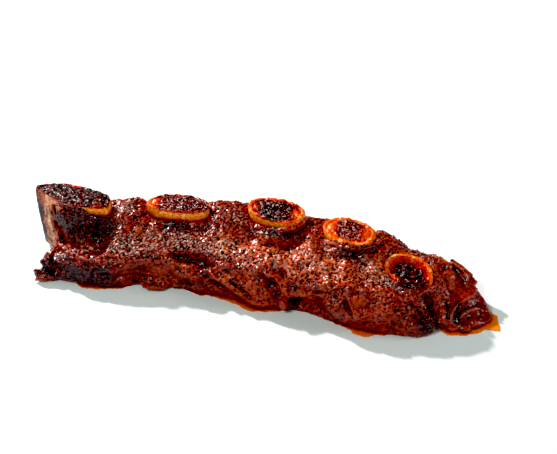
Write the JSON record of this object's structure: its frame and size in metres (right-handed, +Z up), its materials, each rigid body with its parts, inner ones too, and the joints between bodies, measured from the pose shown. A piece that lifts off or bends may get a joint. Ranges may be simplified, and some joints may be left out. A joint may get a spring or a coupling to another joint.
{
  "type": "rack of roasted short ribs",
  "caption": "Thick curved strip of glazed, charred roast beef ribs lying on its sawn side, with oval sawn rib ends standing out along the back edge.",
  "frame": {"origin": "under the middle of the rack's box, on the surface that it lies on", "axes": "+X along the rack from the thick sawn end to the thin end, +Y from the meat's front edge to the bones, +Z up"},
  "size_m": [0.2772, 0.0709, 0.0417],
  "materials": {
    "glazed_meat": "dark red-brown roasted meat under a wet glaze, grainy with spice and char",
    "roasted_bone": "yellow-orange roasted bone, browned towards the sawn rim",
    "charred_core": "black-brown charred spongy bone, grainy and glistening"
  },
  "bodies": {
    "root": {"meat": "glazed_meat", "rib_1": "roasted_bone", "rib_2": "roasted_bone", "rib_3": "roasted_bone", "rib_4": "roasted_bone", "rib_5": "roasted_bone", "core_1": "charred_core", "core_2": "charred_core", "core_3": "charred_core", "core_4": "charred_core", "core_5": "charred_core"}
  },
  "joints": []
}
